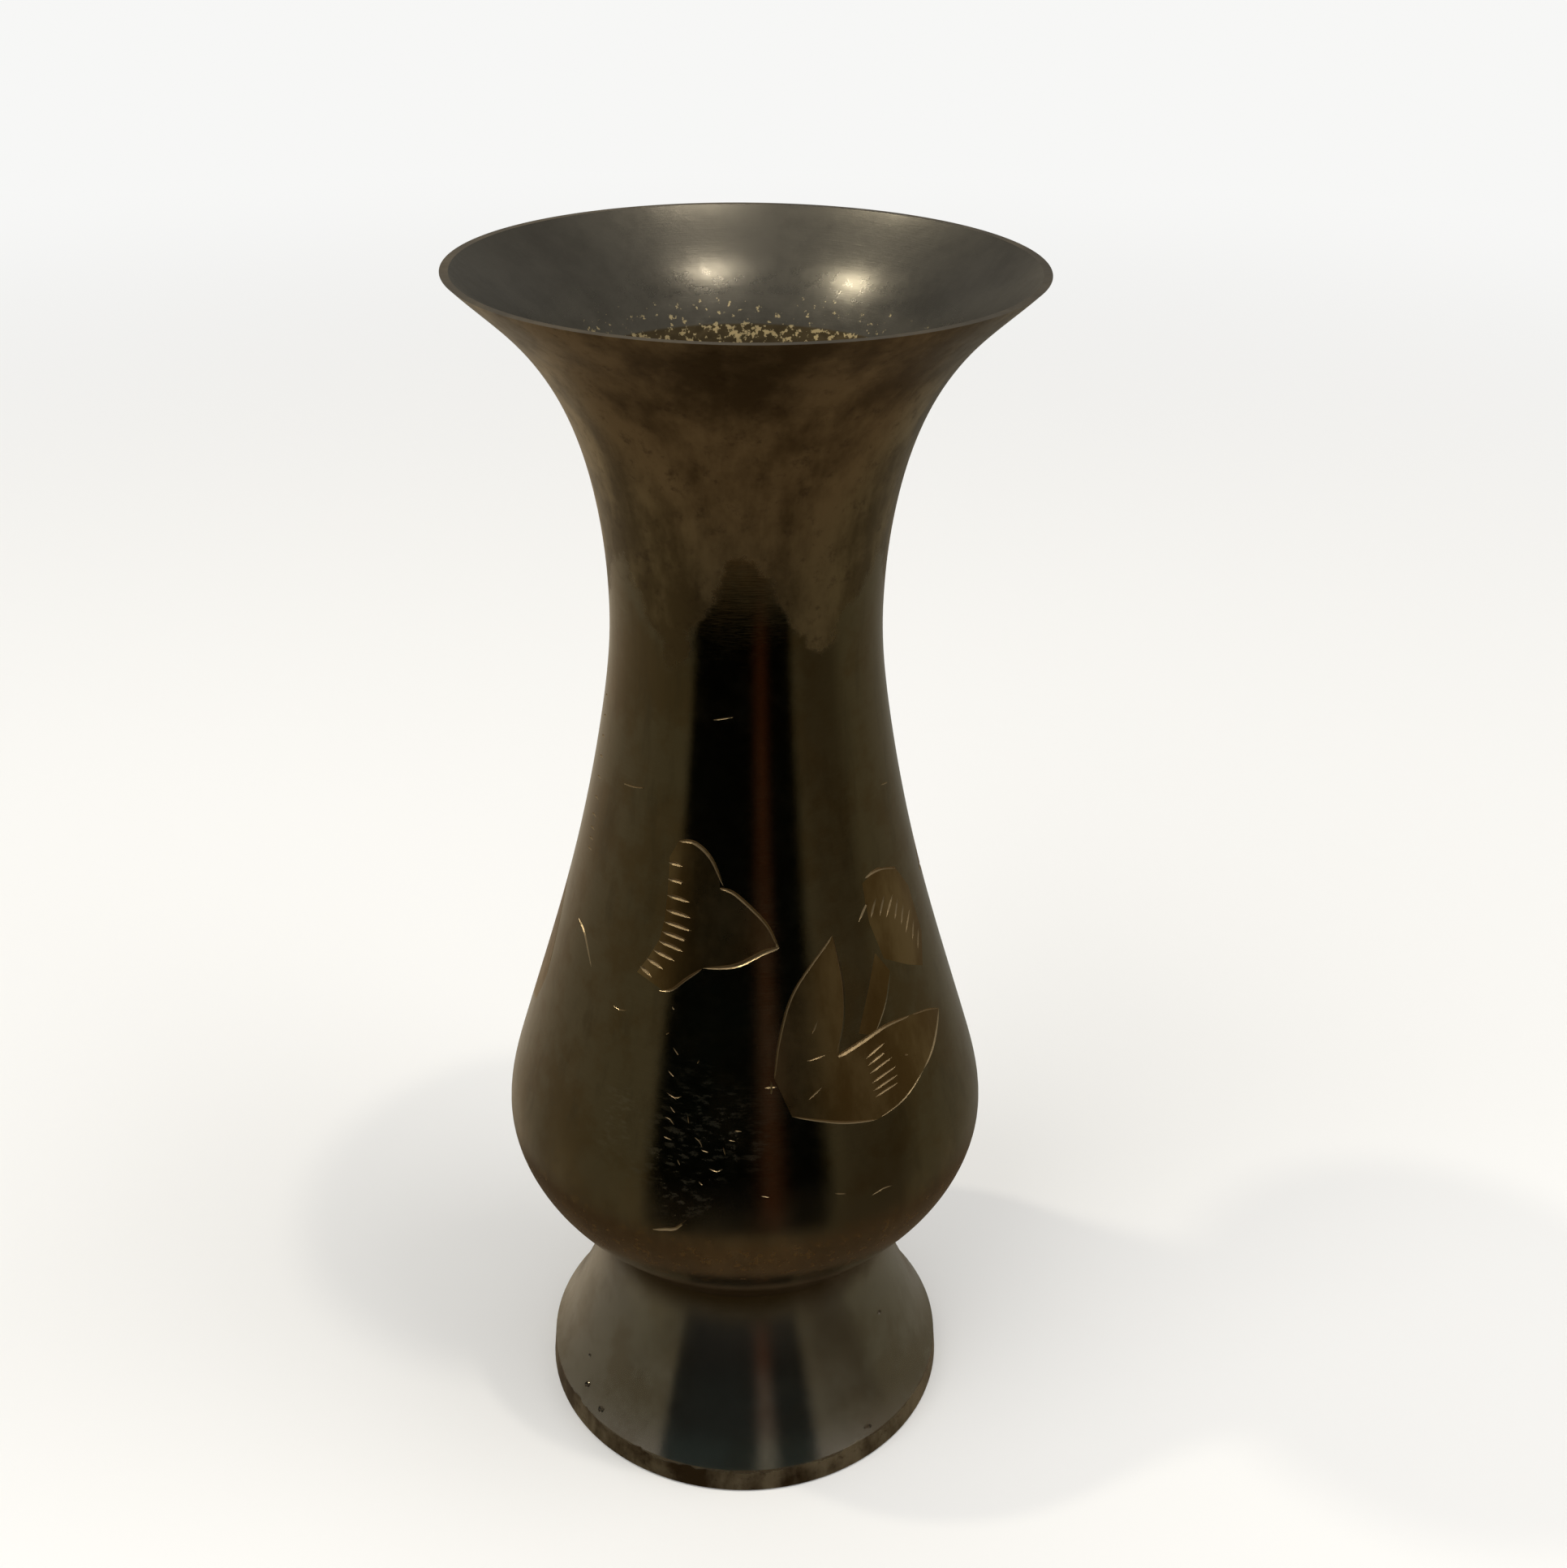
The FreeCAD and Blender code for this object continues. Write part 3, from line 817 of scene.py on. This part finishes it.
def old_brass(name, polish, tarnish, tarnished_above=None, cloudiness=0.10, band_height=0.0, clearness=1.0,
              film=(), stained=1.0):
    """Brass that has been rubbed bright and has dulled again: dark clear polish with fine rub marks, under
    brown cloudy tarnish above a ragged line, in the leaves, and round the unpolished band of the foot.
    Heights are in mm, and film lists where a thin tarnish lies: from, to and how thick."""
    stain_brown, streak_brown = (0.25, 0.165, 0.075, 1), (0.16, 0.12, 0.07, 1)
    leaf_brown, leaf_gold = (0.30, 0.175, 0.06, 1), (0.48, 0.32, 0.145, 1)
    mouth_pale, mouth_dark = (0.235, 0.217, 0.175, 1), (0.165, 0.152, 0.123, 1)
    rim_dark = (0.12, 0.11, 0.09, 1)
    sand_brown, grain_gold = (0.14, 0.105, 0.055, 1), (0.80, 0.66, 0.38, 1)
    freckle_brown, scuff_grey = (0.44, 0.29, 0.12, 1), (0.42, 0.36, 0.26, 1)
    # The first colour on the next line is painted shade for the waist between bowl and foot, not a colour of
    # the metal.
    painted_shade_brown, cut_gold = (0.095, 0.07, 0.03, 1), (0.62, 0.47, 0.27, 1)
    fingers, finger_depth, gap_depth, raggedness = 6.0, 4.0, 3.0, 14.0
    knocked_at = (-6 * mm, -28 * mm, 57.5 * mm)

    material = bpy.data.materials.new(name)
    material.use_nodes = True
    shader = material.node_tree.nodes["Principled BSDF"]
    n = Nodes(material.node_tree)
    place = n.add("ShaderNodeTexCoord").outputs["Object"]
    at = n.add("ShaderNodeSeparateXYZ", {0: place}).outputs
    height = n.maths("DIVIDE", at["Z"], mm)

    def times(a, b):
        return n.maths("MULTIPLY", a, b)

    def plus(a, b):
        return n.maths("ADD", a, b)

    def about_middle(value):
        return n.maths("SUBTRACT", value, 0.5)

    def squeezed(*by):
        return n.add("ShaderNodeVectorMath", {0: place, 1: by}, operation="MULTIPLY").outputs[0]

    def noise(size, detail=4.0, roughness=0.55, vector=place):
        inputs = {"Vector": vector, "Scale": 1 / (size * mm), "Detail": detail, "Roughness": roughness}
        return n.add("ShaderNodeTexNoise", inputs).outputs[0]

    def mark(which):
        return n.add("ShaderNodeAttribute", attribute_name=which).outputs["Fac"]

    clouds = noise(14, 6.0, 0.66)
    smears = noise(9, 5.0, 0.6, squeezed(1, 1, 0.35))
    specks = noise(1.6, 5.0, 0.7)
    turning = noise(3, 3.0, 0.6, squeezed(1, 1, 40))
    cut, leaf, skin, satin = mark("cut"), mark("leaf"), mark("skin"), mark("satin")

    dull = times(n.ramp(clouds, 0.5, 0.7), cloudiness)
    if tarnished_above is not None:
        angle = n.maths("ARCTAN2", at["X"], times(at["Y"], -1.0))
        hanging = times(n.maths("COSINE", times(angle, fingers)), -finger_depth)
        ragged = n.maths("MULTIPLY_ADD", about_middle(noise(6, 6.0, 0.65)), raggedness, height)
        gap = n.ramp(n.maths("ABSOLUTE", angle), 0.1, 0.5, 1.0, 0.0)
        line = n.maths("MULTIPLY_ADD", gap, -gap_depth, plus(ragged, hanging))
        edge = n.ramp(line, tarnished_above - 1.2, tarnished_above + 1.3)
        dull = n.maths("MAXIMUM", dull, edge)
    for low, high, share in film:
        cloudy = times(n.ramp(clouds, 0.3, 0.7, 0.4, 1.0), share)
        dull = n.maths("MAXIMUM", dull, times(window(n, height, low, high, 4), cloudy))
    if band_height:
        edge = n.maths("MULTIPLY_ADD", about_middle(noise(4, 4.0, 0.6)), 2.4, height)
        dull = n.maths("MAXIMUM", dull, n.ramp(edge, band_height - 0.15, band_height + 0.15, 1.0, 0.0))
    brown = n.blend(n.ramp(plus(smears, times(clouds, 0.6)), 0.66, 0.94), tarnish[0], tarnish[1])
    brown = n.blend(times(n.ramp(specks, 0.52, 0.75), 0.7), brown, tarnish[2])

    clear = n.blend(times(n.ramp(turning, 0.4, 0.75), 0.5), polish[0], polish[1])
    patchy = plus(noise(8, 6.0, 0.72), times(about_middle(clouds), 0.7))
    stain = times(n.ramp(patchy, 0.40, 0.64), 0.7)
    clear = n.blend(times(stain, stained), clear, stain_brown)
    streaks = noise(2.5, 4.0, 0.7, squeezed(1, 1, 0.12))
    clear = n.blend(times(n.ramp(streaks, 0.48, 0.72), 0.35 * stained), clear, streak_brown)
    colour = n.blend(dull, clear, brown)

    patina = n.blend(n.ramp(smears, 0.4, 0.6), leaf_brown, leaf_gold)
    colour = n.blend(times(leaf, 0.95), colour, patina)
    grey = n.blend(n.ramp(clouds, 0.4, 0.65), mouth_pale, mouth_dark)
    grey = n.blend(n.ramp(height, 139, 149, 0.0, 0.42), grey, rim_dark)
    colour = n.blend(satin, colour, grey)

    sparse = n.maths("MULTIPLY_ADD", skin, -0.14, 0.67)
    fleck = n.ramp(n.maths("SUBTRACT", noise(0.75, 3.0, 0.6), sparse), 0.0, 0.04)
    fleck = times(fleck, n.ramp(skin, 0.02, 0.2))
    colour = n.blend(n.ramp(skin, 0.5, 0.9), colour, sand_brown)
    colour = n.blend(fleck, colour, grain_gold)

    freckles = times(n.ramp(noise(1.1, 3.0, 0.6), 0.55, 0.64), window(n, height, 36, 46, 4))
    colour = n.blend(times(freckles, 0.6), colour, freckle_brown)
    away = n.add("ShaderNodeVectorMath", {0: place, 1: knocked_at}, operation="DISTANCE").outputs["Value"]
    uneven_edge = n.maths("MULTIPLY_ADD", about_middle(smears), 24 * mm, away)
    near = n.ramp(uneven_edge, 3 * mm, 12 * mm, 1.0, 0.0)
    rubs = noise(0.9, 4.0, 0.65, squeezed(0.6, 0.6, 1.6))
    scuff = times(times(n.ramp(rubs, 0.52, 0.62), near), 0.7)
    colour = n.blend(scuff, colour, scuff_grey)
    # Painted shade: a mottled dark brown band from 20.5 to 30.5 mm high, round the waist where bowl and foot
    # meet, stands in for the shade there and the dark reflection of it.
    crevice_painted_shade = times(n.ramp(height, 20.5, 26, 0.0, 0.95), n.ramp(height, 27.9, 30.5, 1.0, 0.0))
    crevice_painted_shade = times(crevice_painted_shade, n.ramp(clouds, 0.3, 0.6, 0.6, 1.0))
    colour = n.blend(crevice_painted_shade, colour, painted_shade_brown)
    bright = times(n.ramp(cut, 0.7, 0.95), 0.92)
    colour = n.blend(bright, colour, cut_gold)

    rough = n.ramp(specks, 0.3, 0.7, 0.09, 0.15)
    rougher = [(dull, 0.20), (leaf, 0.18), (satin, -0.035), (skin, 0.2)]
    rougher += [(bright, 0.22), (fleck, 0.15), (scuff, 0.26), (freckles, 0.10)]
    for share, amount in rougher:
        rough = n.maths("MULTIPLY_ADD", share, amount, rough)
    rough = n.maths("MULTIPLY_ADD", times(satin, n.ramp(height, 145, 150)), 0.09, rough)
    n.put(shader.inputs["Base Color"], colour)
    n.put(shader.inputs["Roughness"], rough)
    n.put(shader.inputs["Metallic"], n.maths("MULTIPLY_ADD", dull, -0.05, clearness))

    uneven = plus(noise(6, 2.0, 0.5), times(noise(2.2, 2.0, 0.5), 0.25))
    waves = n.add("ShaderNodeBump", {"Height": uneven, "Strength": 1.0, "Distance": 0.03 * mm})
    grain = times(turning, n.maths("MULTIPLY_ADD", satin, 0.15, 0.45))
    grain = plus(grain, times(specks, n.maths("MAXIMUM", dull, times(satin, 0.3))))
    relief = {"Height": grain, "Strength": 0.18, "Distance": 0.1 * mm, "Normal": waves.outputs[0]}
    n.put(shader.inputs["Normal"], n.add("ShaderNodeBump", relief).outputs[0])
    return material


dark_polish = ((0.30, 0.235, 0.14, 1), (0.36, 0.28, 0.17, 1))
brown_tarnish = ((0.17, 0.115, 0.05, 1), (0.42, 0.305, 0.155, 1), (0.12, 0.075, 0.035, 1))
body_brass = old_brass(
    "body_brass", dark_polish, brown_tarnish, tarnished_above=118, film=[(38, 51, 0.55)]
)
upper_piece = turned("upper_body_skin", upper, body_brass, **{"Grit Height": 0.5 * mm})
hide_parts("upper_body")
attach(upper_piece, "root")

# ----------------------------------------------------------------------------------------------------
# Lower bowl: the second brass casting, brazed up inside the skirt of the first. It is turned and polished
# outside, left as cast inside, and carries the spigot and the tapped hole for the foot.

foot_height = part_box("pedestal_foot")[1].z
waist_radius = 19 * mm
waist = (waist_radius, foot_height)
hole_radius, hole_top = 2.5 * mm, foot_height + 4.5 * mm
spigot_radius, spigot_end = 10 * mm, foot_height - 1.5 * mm
sleeve_radius, sleeve_top = skirt_radius - 0.05 * mm, ledge[1] - 0.2 * mm
bore_radius, bore_bottom = belly_radius - belly_wall, belly_height - lap_length / 2
floor_radius, floor_height = 14 * mm, foot_height + 6.5 * mm
underside = [
    (0, hole_top),
    (hole_radius, hole_top),
    (hole_radius, spigot_end),
    (spigot_radius, spigot_end),
    (spigot_radius, foot_height),
    waist,
]
bowl_outside = smooth_run(
    [
        waist,
        part_way(waist, belly, 0.19, 0.28),
        part_way(waist, belly, 0.44, 0.63),
        part_way(waist, belly, 0.70, 0.885),
        belly,
    ],
    slope(52),
    UP,
)
sleeve = [
    belly,
    (sleeve_radius, belly_height),
    (sleeve_radius, sleeve_top),
    (bore_radius, sleeve_top),
    (bore_radius, bore_bottom),
]
bore, floor_edge = sleeve[-1], (floor_radius, floor_height)
bowl_inside = smooth_run([bore, part_way(bore, floor_edge, 0.707, 0.293), floor_edge], DOWN, INWARD)

bowl = Blank(columns_round)
for start, end in zip(underside, underside[1:]):
    bowl.plain(straight_run(start, end), 2.5 * mm)
bowl.plain(bowl_outside, 0.8 * mm)
for start, end in zip(sleeve, sleeve[1:]):
    bowl.plain(straight_run(start, end), 2.5 * mm)
bowl.plain(bowl_inside, 1.2 * mm, skin=1.0)
bowl.plain(straight_run(floor_edge, (0, floor_height)), 1.5 * mm, skin=1.0)

bowl_piece = turned("lower_bowl_skin", bowl, body_brass, **{"Grit Height": 0.3 * mm})
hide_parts("lower_bowl")
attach(bowl_piece, "root")

# ----------------------------------------------------------------------------------------------------
# Pedestal foot: a third casting, flared and hollow. Its flank is turned and polished; the low band that
# stands on the floor was never polished and has gone dark. The web is bored for the spigot and the screw.

foot_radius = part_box("pedestal_foot")[1].x
band_height, band_top_radius, band_chamfer = 3.6 * mm, 26.8 * mm, 0.3 * mm
rim_radius = foot_radius - 2.8 * mm
web_underside = foot_height - 3.8 * mm
recess_radius, recess_bottom = spigot_radius + 0.05 * mm, spigot_end - 0.2 * mm
screw_hole_radius = hole_radius + 0.25 * mm
hollow_top = (waist_radius - 2.1 * mm, web_underside)
band = [
    (rim_radius, 0),
    (foot_radius - band_chamfer, 0),
    (foot_radius, band_chamfer),
    (band_top_radius, band_height),
]
flank = smooth_run(
    [
        band[-1],
        part_way(band[-1], waist, 0.30, 0.47),
        part_way(band[-1], waist, 0.65, 0.87),
        waist,
    ],
    (-slope(38)[0], slope(38)[1]),
    UP,
)
web = [
    waist,
    (recess_radius, foot_height),
    (recess_radius, recess_bottom),
    (screw_hole_radius, recess_bottom),
    (screw_hole_radius, web_underside),
    hollow_top,
]
hollow = smooth_run(
    [
        hollow_top,
        part_way(hollow_top, band[0], 0.45, 0.20),
        part_way(hollow_top, band[0], 0.80, 0.62),
        band[0],
    ],
    DOWN,
    (slope(38)[0], -slope(38)[1]),
)
nicks = [
    stroke([(-58, 5.2), (-55.5, 5.9)], 0.8),
    stroke([(-49, 4.4), (-46.5, 5.0)], 0.9),
    stroke([(-62, 8.2), (-60.5, 8.7)], 0.5),
    stroke([(58, 15.6), (60.5, 15.2)], 0.7),
    stroke([(37, 4.6), (40, 4.3)], 0.7),
    stroke([(118, 4.8), (121.5, 5.3)], 0.8),
    stroke([(-140, 6.1), (-137, 5.6)], 0.6),
]
foot = Blank(columns_round)
for start, end in zip(band, band[1:]):
    foot.plain(straight_run(start, end), 0.6 * mm)
foot.engraved(flank, 0.9 * mm, nicks, [], fresh=0.6)
for start, end in zip(web, web[1:]):
    foot.plain(straight_run(start, end), 2.5 * mm)
foot.plain(hollow, 1.0 * mm)

grey_polish = ((0.46, 0.41, 0.33, 1), (0.52, 0.46, 0.37, 1))
band_tarnish = ((0.10, 0.065, 0.03, 1), (0.50, 0.42, 0.28, 1), (0.05, 0.03, 0.015, 1))
foot_brass = old_brass(
    "foot_brass",
    grey_polish,
    band_tarnish,
    cloudiness=0.12,
    band_height=3.4,
    clearness=0.985,
    film=[(18, 27, 0.4)],
    stained=0.45,
)
foot_piece = turned("pedestal_foot_skin", foot, foot_brass)
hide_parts("pedestal_foot")
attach(foot_piece, "root")

# ----------------------------------------------------------------------------------------------------
# Braze ring, foot screw and washer: bought or run-in pieces that no one sees from outside. The filler is
# paler than the castings; screw and washer are plain drawn brass that was never polished.


def dull_metal(name, colour, shadow, grain_size, roughness):
    """Brass that was never polished: two tones in a fine grain, and a roughness that follows it."""
    material = bpy.data.materials.new(name)
    material.use_nodes = True
    shader = material.node_tree.nodes["Principled BSDF"]
    n = Nodes(material.node_tree)
    place = n.add("ShaderNodeTexCoord").outputs["Object"]
    grain = n.add("ShaderNodeTexNoise", {"Vector": place, "Scale": 1 / grain_size, "Detail": 4.0}).outputs[0]
    tone = n.ramp(grain, 0.4, 0.65)
    n.put(shader.inputs["Base Color"], n.blend(tone, colour, shadow))
    n.put(shader.inputs["Roughness"], n.maths("MULTIPLY_ADD", tone, 0.12, roughness))
    shader.inputs["Metallic"].default_value = 1.0
    return material


braze = dull_metal("braze_filler", (0.6, 0.48, 0.24, 1), (0.42, 0.32, 0.15, 1), 0.6 * mm, 0.38)
drawn_brass = dull_metal("drawn_brass", (0.55, 0.41, 0.19, 1), (0.40, 0.28, 0.12, 1), 1.5 * mm, 0.26)
hidden = {"belly_braze_ring": braze, "foot_screw": drawn_brass, "foot_washer": drawn_brass}
for node, material in hidden.items():
    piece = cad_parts[node]
    piece.data.materials.clear()
    piece.data.materials.append(material)
